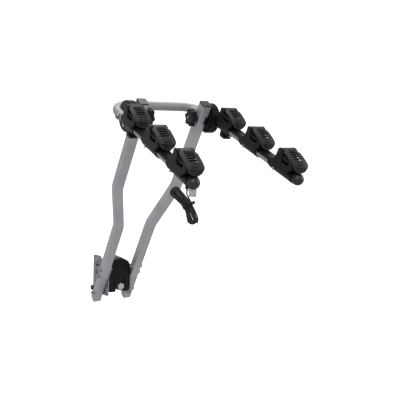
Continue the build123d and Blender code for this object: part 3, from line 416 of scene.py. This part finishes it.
def rounded(piece, levels):
    """Adds a subdivision surface that rounds the piece."""
    modifier = piece.modifiers.new("moulded_rounding", "SUBSURF")
    modifier.levels = levels
    modifier.render_levels = levels


def smooth_line(controls, count):
    """Evenly spaced points, about count of them, on a smooth line inside the control points."""
    pieces = 12
    dense = []
    for a, b, c in zip(controls, controls[1:], controls[2:]):
        start = a if a is controls[0] else (a + b) / 2
        end = c if c is controls[-1] else (b + c) / 2
        for step in range(pieces):
            t = step / pieces
            dense.append(start * (1 - t) ** 2 + b * (2 * t * (1 - t)) + end * t**2)
    dense.append(controls[-1])
    total = sum((q - p).length for p, q in zip(dense, dense[1:]))
    # A hair less than the whole, so that rounding doesn't lose the last point.
    return evenly(dense, total / count * 0.99999)


def on_line(line, share):
    """A point at a share of the line's length, and the way up from the line there."""
    place = share * (len(line) - 1)
    low = min(int(place), len(line) - 2)
    way = (line[low + 1] - line[low]).normalized()
    return line[low].lerp(line[low + 1], place - low), Vector((-way.y, way.x, 0))


print("sheets are ready")

# %% [markdown]
# Seen from the side, the strap runs out from its pin over the tube and bends down over the
# cradle's far end. Its tongue has a raised rim, five slots with a bar behind each, and three ribs
# at the bend. Every place where its height changes needs a row of the grid of its own.

# %% The strap: side line and rows
strap_side = (
    (-3, 7.7), (8, 7.7), (20, 4.9), (32, 1.7), (45, -2.6),
    (57, -7.4), (67, -12.6), (69.6, -21), (70.6, -31.8),
)
strap_line = smooth_line([Vector((t, n, 0)) for t, n in strap_side], 200)
strap_length = sum((b - a).length for a, b in zip(strap_line, strap_line[1:]))
slots = 5
slots_start = 17.6
slot_pitch = 8.9
slot_length = 4.4
slot_half = 13.4
bar_rows = (1.2, 3.3)
ribs = 3
ribs_start = slots_start + slots * slot_pitch
rib_pitch = 6.2
rib_rows = (1.2, 3.4)
rib_foot = 4.6
rim_width = 3.6
rim_slope = 1.2
neck_rows = (0, 2.5, 6, 10, 14, 15.8)
rows_from_tip = (13, 9, 6, rim_width, rim_slope, 0)
row_places = list(neck_rows)
for slot in range(slots):
    low = slots_start + slot * slot_pitch
    row_places += [low, low + slot_length, *(low + slot_length + row for row in bar_rows)]
for rib in range(ribs):
    low = ribs_start + rib * rib_pitch
    row_places += [low, *(low + row for row in rib_rows), low + rib_foot]
row_places += [strap_length - row for row in rows_from_tip]
row_places.append(strap_length - rim_width - rim_slope)
row_places = sorted(set(row_places))
print("strap:", round(strap_length, 1), "mm along,", len(row_places), "rows")

# %% The strap's width, columns and heights
strap_neck_half = 15.0
strap_half = 25.0
strap_widens = (11.0, 25.0)
strap_end_round = 24.5
strap_thickness = 3.2
edge_thinness = 0.55
edge_round = 1.0
strap_crown = 4.2
crown_starts, crown_full = 8, 20
crown_level, crown_power = 0.35, 2.2
slot_share = 0.55
least_half = 0.05
rim_starts = 24
rim_height = 1.9
bar_height = 2.0
rib_half = slot_half + 3
row_slack = 0.1


def strap_half_width(s):
    """Half the strap's width: narrow at the pin, full width on the tongue, round at its end."""
    start, end = strap_widens
    widening = min(1, max(0, (s - start) / (end - start)))
    half = strap_neck_half + (strap_half - strap_neck_half) * math.sin(widening * math.pi / 2)
    past = s - (strap_length - strap_end_round)
    if past > 0:
        half -= strap_end_round - math.sqrt(max(0.0, strap_end_round**2 - past**2))
    return half


def strap_columns(s):
    """Places across the strap: the rim's lines, the slot's edge, and the middle."""
    half = strap_half_width(s)
    rim_foot = half - rim_width - rim_slope
    edge = min(slot_half, half * slot_share)
    outer = [half, half - edge_round, half - rim_width, rim_foot]
    inner = [edge + (rim_foot - edge) * 0.5, edge, edge * 0.45]
    right = [max(v, least_half) for v in outer + inner]
    return [-v for v in right] + [0] + right[::-1]


def between(place, rows):
    """Whether a place lies on the raised stretch between two rows."""
    return rows[0] - row_slack < place < rows[1] + row_slack


def raised(s, x):
    """How far the upper skin stands up here: a rim round the tongue, bars and ribs across it."""
    from_edge = min(strap_half_width(s) - abs(x), strap_length - s)
    if s > rim_starts and from_edge < rim_width - row_slack:
        return rim_height
    past_slot = s - slots_start - slot_length
    if abs(x) <= slot_half and 0 < past_slot < slots * slot_pitch:
        if between(past_slot % slot_pitch, bar_rows):
            return bar_height
    past_slots = s - ribs_start
    if abs(x) <= rib_half and 0 < past_slots < ribs * rib_pitch:
        if between(past_slots % rib_pitch, rib_rows):
            return bar_height
    return 0.0


print("columns at the middle:", [round(x, 1) for x in strap_columns(strap_length / 2)])

# %% Build the six straps
strap_column_count = len(strap_columns(0))
slot_columns = range(5, 9)


def strap_spot(sign, pin_along):
    """The function that places a strap's grid on one cradle."""

    def spot(i, j, skin):
        s = row_places[i]
        x = strap_columns(s)[j]
        here, out = on_line(strap_line, min(s / strap_length, 1))
        lift = strap_thickness / 2 + raised(s, x) if skin else -strap_thickness / 2
        if j in (0, strap_column_count - 1):
            lift *= edge_thinness
        crowned = min(1, max(0, (s - crown_starts) / (crown_full - crown_starts)))
        lift += crowned * strap_crown * (crown_level - (abs(x) / strap_half) ** crown_power)
        along = pin_along + here.x + out.x * lift
        return arm_point(sign * arm_half + x, along, pin_height + here.y + out.y * lift)

    return spot


def slot_cell(i, j):
    """Whether a cell of the strap's grid is one of its slots."""
    past_start = (row_places[i] + row_places[i + 1]) / 2 - slots_start
    in_row = 0 <= past_start < slots * slot_pitch and past_start % slot_pitch < slot_length
    return in_row and j in slot_columns


straps = []
for side, sign in SIDES:
    for place, pin_along in PINS_ALONG:
        strap = moulded_sheet(
            f"{side}_{place}_rubber_strap",
            len(row_places), strap_column_count, strap_spot(sign, pin_along), slot_cell,
        )
        straps.append((strap, side, place, sign, pin_along))
        rounded(strap, 2)
print("straps:", len(straps))

# %% [markdown]
# The strap turns on a steel pin, so its root is a thick knuckle with a bore. It is a ring whose
# section has rounded corners, joined to the strap's sheet as one piece of rubber.

# %% Knuckles on the straps
knuckle_radius = 9.3
knuckle_bore_radius = 2.7
knuckle_half = 16.9
knuckle_soft = 1.6
knuckle_bevel = 0.5
knuckle_sides = 32


def ring_round_pin(centre):
    """A thick ring along X round this centre: its outer corners are softened."""
    half, inner, outer = knuckle_half, knuckle_bore_radius, knuckle_radius
    low_corner = [(-half, outer - knuckle_soft), (-half + knuckle_bevel, outer - knuckle_bevel)]
    low_corner.append((-half + knuckle_soft, outer))
    high_corner = [(-x, radius) for x, radius in reversed(low_corner)]
    section = [(-half, inner), *low_corner, (0, outer), *high_corner, (half, inner)]
    verts, faces = [], []
    for k in range(knuckle_sides):
        angle = 2 * math.pi * k / knuckle_sides
        way = arm_along * math.cos(angle) + arm_up * math.sin(angle)
        verts += [centre + Vector((x * MM, 0, 0)) + way * (radius * MM) for x, radius in section]
    count = len(section)
    for k in range(knuckle_sides):
        for m in range(count):
            a, b = k * count + m, k * count + (m + 1) % count
            c = (k + 1) % knuckle_sides * count
            faces.append((a, b, c + (m + 1) % count, c + m))
    return verts, faces


def join_into(piece, other):
    """Moves the other object's mesh into the piece, with its modifiers applied first."""
    graph = bpy.context.evaluated_depsgraph_get()
    work = bmesh.new()
    for source in (piece, other):
        work.from_mesh(bpy.data.meshes.new_from_object(source.evaluated_get(graph)))
    piece.modifiers.clear()
    work.to_mesh(piece.data)
    work.free()
    piece.data.shade_smooth()
    bpy.data.objects.remove(other)


for strap, side, place, sign, pin_along in straps:
    verts, faces = ring_round_pin(arm_point(sign * arm_half, pin_along, pin_height))
    knuckle = new_piece("knuckle", verts, faces)
    bpy.context.view_layer.update()
    join_into(strap, knuckle)
    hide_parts(f"{side}_{place}_strap")
    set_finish(strap, "rubber")
    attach(strap, f"{side}_{place}_band")
print("knuckles joined")

# %% [markdown]
# A sling hangs between the cradle's nose and its horn and sags where the bicycle's tube lies. It
# is the same kind of sheet as the strap, without slots, with a low rim and ribs for grip.

# %% The slings: ribbed rubber that sags between nose and horn
sling_thickness = 3.0
sling_sink = 0.4
sling_rim_height = 0.4
sling_rib_height = 0.35
sling_side = ((12.6, 39.6), (19, 36.6), (29, 34.2), (39, 36.4), (46.5, 38.1), (53.8, 38.1))
sling_line = smooth_line([Vector((t, n, 0)) for t, n in sling_side], 60)
sling_rows = 41
sling_columns = (-23, -22.2, -20.5, -19.6, -10, 0, 10, 19.6, 20.5, 22.2, 23)
rim_columns = (1, 2, 8, 9)
rib_columns = (4, 5, 6)
ribbed_rows = [i for i in range(4, 30) if i % 4 in (1, 2)]


def sling_spot(sign, pin_along):
    """The function that places a sling's grid on one cradle."""

    def spot(i, j, skin):
        here, out = on_line(sling_line, i / (sling_rows - 1))
        lift = -sling_thickness / 2
        if skin:
            rib = sling_rib_height if i in ribbed_rows and j in rib_columns else 0.0
            rim = sling_rim_height if j in rim_columns else 0.0
            lift = sling_thickness / 2 - sling_sink + max(rib, rim)
        along = pin_along + here.x + out.x * lift
        return arm_point(sign * arm_half + sling_columns[j], along, here.y + out.y * lift)

    return spot


for side, sign in SIDES:
    for place, pin_along in PINS_ALONG:
        sling = moulded_sheet(
            f"{side}_{place}_rubber_sling",
            sling_rows, len(sling_columns), sling_spot(sign, pin_along),
        )
        rounded(sling, 1)
        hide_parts(f"{side}_{place}_sling")
        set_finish(sling, "rubber")
        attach(sling, "arms")
print("slings:", len(PINS_ALONG) * len(SIDES))

# %% [markdown]
# ## Finishes
# A finish is a small network of nodes. Written as sums it reads better, so one class wraps a
# socket and turns + - * into Math nodes, and one method makes any other node: its type, its
# settings, and what goes into its sockets.

# %% Shader helper


class Wire:
    """A socket that can be added to, taken away from and multiplied."""

    def __init__(self, finish, socket):
        self.finish = finish
        self.socket = socket

    def math(self, operation, first, second):
        return self.finish.node("ShaderNodeMath", {"operation": operation}, {0: first, 1: second})

    def __add__(self, other):
        return self.math("ADD", self, other)

    def __radd__(self, other):
        return self.math("ADD", other, self)

    def __sub__(self, other):
        return self.math("SUBTRACT", self, other)

    def __rsub__(self, other):
        return self.math("SUBTRACT", other, self)

    def __mul__(self, other):
        return self.math("MULTIPLY", self, other)

    def __rmul__(self, other):
        return self.math("MULTIPLY", other, self)


class Finish:
    """One material and its network of nodes."""

    def __init__(self, name):
        self.material = bpy.data.materials.new(name)
        self.material.use_nodes = True
        self.tree = self.material.node_tree
        self.shader = self.tree.nodes["Principled BSDF"]
        self.place = self.node("ShaderNodeTexCoord", {}, {}, out="Object")

    def node(self, kind, settings, inputs, out=0):
        """Any node: settings first, then values or wires into its sockets. Returns one output."""
        made = self.tree.nodes.new(kind)
        for key, value in settings.items():
            setattr(made, key, value)
        for key, value in inputs.items():
            self.feed(made.inputs[key], value)
        return Wire(self, made.outputs[out])

    def feed(self, socket, value):
        """A wire is linked to the socket, and a plain value is set on it."""
        if isinstance(value, Wire):
            self.tree.links.new(value.socket, socket)
        else:
            socket.default_value = value

    def stretched(self, scale):
        """The place on the object, with each direction stretched by its own scale."""
        settings = {"operation": "MULTIPLY"}
        return self.node("ShaderNodeVectorMath", settings, {0: self.place, 1: scale})

    def noise(self, scale, detail, rough=0.55, place=None):
        """Cloudy noise from 0 to 1. A scale of 100 has clouds about a centimetre across."""
        inputs = {"Vector": place or self.place, "Scale": scale}
        inputs |= {"Detail": detail, "Roughness": rough}
        return self.node("ShaderNodeTexNoise", {}, inputs, out="Fac")

    def cells(self, scale, out="Distance"):
        """A pattern of cells: how far from a cell's middle, or each cell's own colour."""
        inputs = {"Vector": self.place, "Scale": scale}
        return self.node("ShaderNodeTexVoronoi", {}, inputs, out=out)

    def window(self, value, low, high):
        """0 below low, 1 above high, and a straight slope between them."""
        inputs = {"Value": value, "From Min": low, "From Max": high}
        return self.node("ShaderNodeMapRange", {"clamp": True}, inputs)

    def mix(self, share, first, second):
        """From the first colour to the second by a share from 0 to 1."""
        inputs = {"Factor": share, 6: (*first, 1) if isinstance(first, tuple) else first}
        inputs[7] = (*second, 1) if isinstance(second, tuple) else second
        return self.node("ShaderNodeMix", {"data_type": "RGBA"}, inputs, out=2)

    def bump(self, height, strength, distance):
        """A height turned into dents in the surface, distance metres deep."""
        inputs = {"Height": height, "Strength": strength, "Distance": distance}
        return self.node("ShaderNodeBump", {}, inputs)

    def edge_sharpness(self):
        """How sharp an edge is here, from 0 to 1: sharp edges get a painted highlight.

        Pointiness is 0.5 where the surface is flat, and more where it bends outwards.
        """
        point = self.node("ShaderNodeNewGeometry", {}, {}, out="Pointiness")
        return self.window(point, 0.5, 0.57)

    def set(self, **sockets):
        """Feeds the shader's own sockets, by their names with _ for each space."""
        for name, value in sockets.items():
            self.feed(self.shader.inputs[name.replace("_", " ")], value)


print("shader helper ready")

# %% [markdown]
# The legs are painted silver grey. Sprayed enamel has fine metal flakes, a soft orange-peel
# ripple and rub marks from the garage. The arms' tube gets a glossier copy of it, whose darker
# tones are painted shade for the round tube.

# %% Silver enamel on legs and arms


def enamel(name, light, dark, roughness):
    """Paint with flakes and clouds between a light and a dark tone, and darker rub marks."""
    finish = Finish(name)
    cloud = finish.noise(14, detail=4)
    flakes = finish.noise(2600, detail=1)
    streak = finish.noise(26, detail=5, rough=0.7, place=finish.stretched((6, 6, 0.8)))
    rub = finish.window(streak, 0.58, 0.72)
    rubbed = tuple(c * 0.72 for c in dark)
    tone = finish.window(cloud * 0.7 + flakes * 0.3, 0.35, 0.65)
    peel = finish.noise(420, detail=2)
    finish.set(
        Base_Color=finish.mix(rub * 0.22, finish.mix(tone, dark, light), rubbed),
        Metallic=0.38,
        Roughness=roughness + 0.12 * cloud + 0.16 * rub,
        Normal=finish.bump(peel * 0.8 + flakes * 0.2, strength=0.12, distance=0.0004),
        Coat_Weight=0.25,
        Coat_Roughness=0.28,
    )
    return finish.material


finishes = {
    "leg_paint": enamel(
        "leg_silver_enamel",
        light=(0.475, 0.465, 0.498), dark=(0.39, 0.381, 0.412), roughness=0.36,
    ),
    # The arms' copy is darker than the legs': painted shade for the round tube.
    "arm_paint": enamel(
        "arm_silver_enamel",
        light=(0.345, 0.345, 0.35), dark=(0.28, 0.28, 0.285), roughness=0.32,
    ),
}
print("enamel:", [m.name for m in finishes.values()])

# %% [markdown]
# Moulded plastic and rubber both are near black, and the surface tells them apart: the plastic's
# spark-eroded grain is fine, and the rubber is rougher, with talc that makes it a little paler
# where hands have been. Both get a painted highlight on their sharp edges, such as the rubber's
# bars.

# %% Plastic and rubber


def moulded(name, colour, roughness, grain, relief, smudge_and_sheen, gloss):
    """A near black moulding, with paler smudges and a painted highlight on its sharp edges."""
    finish = Finish(name)
    cloud = finish.noise(30, detail=4)
    fine = finish.noise(grain, detail=2)
    pits = finish.cells(grain * 0.6)
    smudge = finish.window(finish.noise(9, detail=6, rough=0.65), 0.5, 0.72)
    # Painted highlight: sharp edges, such as the rubber's raised bars and ribs, are paler, as if
    # lit.
    sharp_edge = finish.edge_sharpness()
    smudged = tuple(c + smudge_and_sheen for c in colour)
    edge_highlight = tuple(c + smudge_and_sheen * 1.6 for c in colour)
    tone = finish.mix(smudge * 0.5 + fine * 0.25, colour, smudged)
    finish.set(
        Base_Color=finish.mix(sharp_edge * 0.35, tone, edge_highlight),
        Roughness=roughness + 0.14 * smudge + 0.1 * cloud - 0.12 * sharp_edge,
        Normal=finish.bump(fine * 0.6 + pits * 0.4, strength=relief, distance=0.0002),
        Specular_IOR_Level=gloss,
    )
    return finish.material


finishes["black_plastic"] = moulded(
    "black_grained_plastic", (0.0042, 0.0045, 0.0068),
    roughness=0.38, grain=1500, relief=0.25, smudge_and_sheen=0.004, gloss=0.2,
)
finishes["cap_plastic"] = moulded(
    "dark_cap_plastic", (0.014, 0.0135, 0.017),
    roughness=0.3, grain=1900, relief=0.14, smudge_and_sheen=0.01, gloss=0.42,
)
finishes["rubber"] = moulded(
    "black_moulded_rubber", (0.0065, 0.007, 0.0076),
    roughness=0.42, grain=900, relief=0.3, smudge_and_sheen=0.007, gloss=0.34,
)
print("plastics and rubber done")

# %% [markdown]
# Zinc plate on rough steel looks mottled: patches of brighter and duller metal, with a bluish or
# yellowish tint. Bright steel has fine lines from the lathe or the press instead, and the jaws,
# their rods and the straps' pins are blackened, with a film of oil.

# %% Zinc, bright steel and blackened steel
zinc = Finish("mottled_zinc_plate")
patches = zinc.node("ShaderNodeSeparateColor", {}, {"Color": zinc.cells(75, out="Color")})
blotch = zinc.window(zinc.noise(38, detail=5, rough=0.7), 0.38, 0.62)
mottle = 0.45 * patches + 0.55 * blotch
zinc_tone = zinc.mix(mottle, (0.11, 0.12, 0.135), (0.52, 0.53, 0.545))
yellowed = zinc.window(zinc.noise(12, detail=3), 0.55, 0.75)
zinc.set(
    Base_Color=zinc.mix(yellowed * 0.3, zinc_tone, (0.62, 0.56, 0.42)),
    Metallic=0.92,
    Roughness=0.26 + 0.26 * blotch + 0.08 * patches,
    Normal=zinc.bump(zinc.noise(900, detail=3), strength=0.15, distance=0.0002),
)
finishes["zinc"] = zinc.material
steel = Finish("bright_turned_steel")
lines = steel.noise(300, detail=4, rough=0.6, place=steel.stretched((1, 9, 9)))
steel.set(
    Base_Color=steel.mix(steel.noise(60, detail=3), (0.55, 0.55, 0.56), (0.74, 0.74, 0.75)),
    Metallic=1.0,
    Roughness=0.2 + 0.22 * lines,
    Normal=steel.bump(lines, strength=0.12, distance=0.0001),
)
finishes["steel"] = steel.material
dark_steel = Finish("blackened_steel")
oil = dark_steel.noise(80, detail=4, rough=0.6)
dark_steel.set(
    Base_Color=dark_steel.mix(oil, (0.03, 0.03, 0.033), (0.09, 0.088, 0.09)),
    Metallic=0.85,
    Roughness=0.38 + 0.2 * oil,
    Normal=dark_steel.bump(dark_steel.noise(700, detail=3), strength=0.15, distance=0.0002),
)
finishes["dark_steel"] = dark_steel.material
print("metals done")

# %% [markdown]
# The cord's cover is dull black yarn. The lozenges of the braid are in its mesh already, so this
# finish only adds the fibres and a few paler flecks, and it is rough all over.

# %% Braided cord's yarn
yarn = Finish("black_braided_yarn")
fibres = yarn.noise(2400, detail=3, rough=0.6)
fleck = yarn.window(yarn.cells(700), 0.1, 0.35)
yarn.set(
    Base_Color=yarn.mix(fibres * 0.7 + fleck * 0.3, (0.006, 0.006, 0.007), (0.034, 0.034, 0.037)),
    Roughness=0.72 + 0.2 * fibres,
    Normal=yarn.bump(fibres, strength=0.5, distance=0.0002),
)
finishes["cord"] = yarn.material
print("finishes:", sorted(finishes))

# %% [markdown]
# ## Handing out the finishes
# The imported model's record names a finish for every piece, such as zinc or rubber. The pieces
# that were built here carry the name of theirs with them, so one loop serves both kinds.

# %% Give every piece its finish
slot_of = {part["node"]: part["material_slot"] for part in frame["record"]["subparts"]}
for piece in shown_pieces():
    wanted = finishes[piece.get("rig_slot") or slot_of[piece.name]]
    piece.data.materials.clear()
    piece.data.materials.append(wanted)

# %% [markdown]
# ## Stage
# The photograph is a catalogue picture on white, without a shadow below the rack. A wide pale
# floor, a little under the rack's lowest point, curves up all round into a bowl, and three large
# soft lamps light the rack. The paper glows a little, so that it stays white, but it throws no
# light back on the rack: undersides stay dark, as they are in the picture.

# %% Floor and backdrop
floor_drop = 0.22
floor_z = cad_box[0][2] - floor_drop
bowl = ((3.0, 0.0), (4.6, 0.0), (5.6, 0.2), (6.3, 0.7), (6.8, 1.6), (7.0, 3.0), (7.0, 7.0))
bowl_sides = 64
floor_verts = [(0, 0, floor_z)]
for radius, rise in bowl:
    for k in range(bowl_sides):
        angle = 2 * math.pi * k / bowl_sides
        floor_verts.append((radius * math.cos(angle), radius * math.sin(angle), floor_z + rise))
floor_faces = [(0, 1 + k, 1 + (k + 1) % bowl_sides) for k in range(bowl_sides)]
for ring in range(len(bowl) - 1):
    for k in range(bowl_sides):
        a = 1 + ring * bowl_sides + k
        b = 1 + ring * bowl_sides + (k + 1) % bowl_sides
        floor_faces.append((a, a + bowl_sides, b + bowl_sides, b))
floor = new_piece("floor", floor_verts, floor_faces)
floor.visible_diffuse = False
floor.visible_glossy = False
paper = Finish("pale_paper")
paper.set(
    Base_Color=paper.mix(paper.noise(3, detail=4), (0.86, 0.86, 0.86), (0.9, 0.9, 0.9)),
    Roughness=0.9,
    Normal=paper.bump(paper.noise(200, detail=2), strength=0.03, distance=0.001),
    Emission_Color=(1, 1, 1, 1),
    Emission_Strength=0.8,
)
floor.data.materials.append(paper.material)
print("floor at", round(floor_z, 3), "m")

# %% Lamps and sky
rack_middle = (0, -0.4, 0.3)


def lamp(name, place, size, power):
    """A square soft lamp, size metres wide, that shines at the middle of the rack."""
    data = bpy.data.lights.new(name, "AREA")
    data.shape = "SQUARE"
    data.size = size
    data.energy = power
    made = bpy.data.objects.new(name, data)
    bpy.context.scene.collection.objects.link(made)
    made.location = place
    made.rotation_mode = "QUATERNION"
    made.rotation_quaternion = (Vector(rack_middle) - Vector(place)).to_track_quat("-Z", "Y")


lamp("key", (-1.6, -2.6, 2.6), size=1.8, power=46)
lamp("fill", (2.6, -1.6, 1.4), size=1.6, power=25)
lamp("top", (0.2, 0.6, 3.0), size=2.4, power=40)
world = bpy.data.worlds.new("white_room")
world.use_nodes = True
sky = world.node_tree.nodes["Background"]
sky.inputs["Color"].default_value = (1, 1, 1, 1)
sky.inputs["Strength"].default_value = 0.55
bpy.context.scene.world = world
bpy.context.scene.view_settings.view_transform = "Standard"

# %% [markdown]
# ## The end

# %% Finish
print("scene built")
